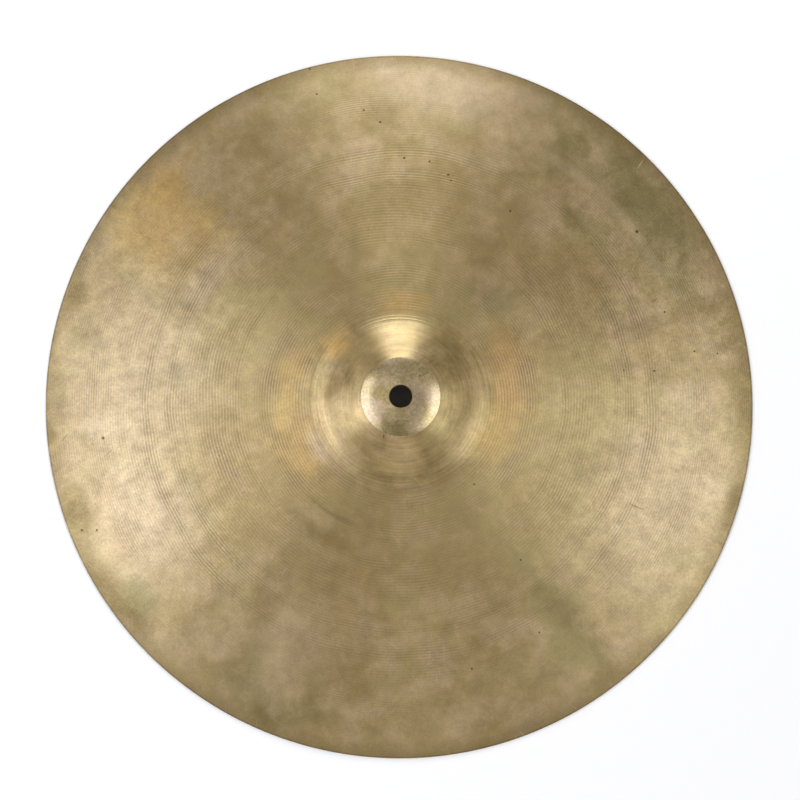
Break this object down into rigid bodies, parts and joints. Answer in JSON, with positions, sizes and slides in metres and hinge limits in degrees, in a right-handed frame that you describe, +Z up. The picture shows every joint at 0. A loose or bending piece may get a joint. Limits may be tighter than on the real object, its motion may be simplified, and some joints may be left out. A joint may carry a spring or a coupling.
{
  "type": "crash cymbal",
  "caption": "Round bronze crash cymbal: a thin hammered and lathed bow with a raised bell and a centre hole for a stand's rod.",
  "frame": {"origin": "centre of the circle on which the rim rests, so the whole cymbal is above Z = 0", "axes": "+Z up the axis of the hole, out of the top of the bell; X and Y are any pair across the rim, as the cymbal is turned"},
  "size_m": [0.4064, 0.4064, 0.0383],
  "materials": {
    "bronze": "aged bell bronze, hammered, with fine lathe grooves in rings and a dull olive-brown tarnish"
  },
  "bodies": {
    "root": {"cymbal": "bronze"}
  },
  "joints": []
}
